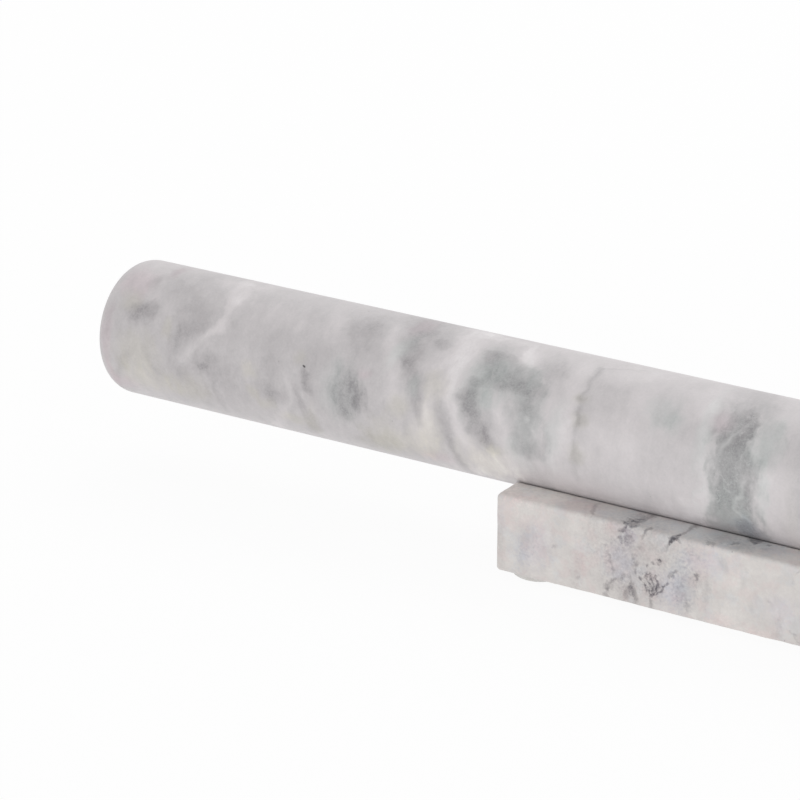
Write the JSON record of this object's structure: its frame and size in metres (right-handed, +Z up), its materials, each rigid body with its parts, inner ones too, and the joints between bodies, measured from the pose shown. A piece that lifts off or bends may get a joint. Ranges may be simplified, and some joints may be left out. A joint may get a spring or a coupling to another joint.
{
  "type": "marble rolling pin with stand",
  "caption": "Straight handle-less marble rolling pin with softly rounded ends, resting in the shallow groove of a marble block stand on soft pads; it lifts off to roll out dough.",
  "frame": {"origin": "on the table under the middle of the stand and of the pin, at the lower faces of the pads", "axes": "+X along the pin, to the right in the front view; +Y across the pin, away from the viewer; +Z up"},
  "size_m": [0.457, 0.056, 0.0654],
  "materials": {
    "pin_marble": "honed, satin, light grey marble with darker grey clouds and white bands",
    "stand_marble": "honed, satin, warm white marble with fine dark veins",
    "pad_silicone": "clear, slightly milky soft silicone",
    "pad_adhesive": "clear adhesive film"
  },
  "bodies": {
    "stand": {"stand": "stand_marble", "pad_front_left": "pad_silicone", "pad_front_right": "pad_silicone", "pad_rear_left": "pad_silicone", "pad_rear_right": "pad_silicone", "adhesive_front_left": "pad_adhesive", "adhesive_front_right": "pad_adhesive", "adhesive_rear_left": "pad_adhesive", "adhesive_rear_right": "pad_adhesive"},
    "rolling_pin": {"rolling_pin": "pin_marble"}
  },
  "joints": [
    {"name": "pin_lift", "type": "slide", "parent": "stand", "child": "rolling_pin", "axis": [0, 0, 1], "range_m": [0, 0.08]}
  ]
}
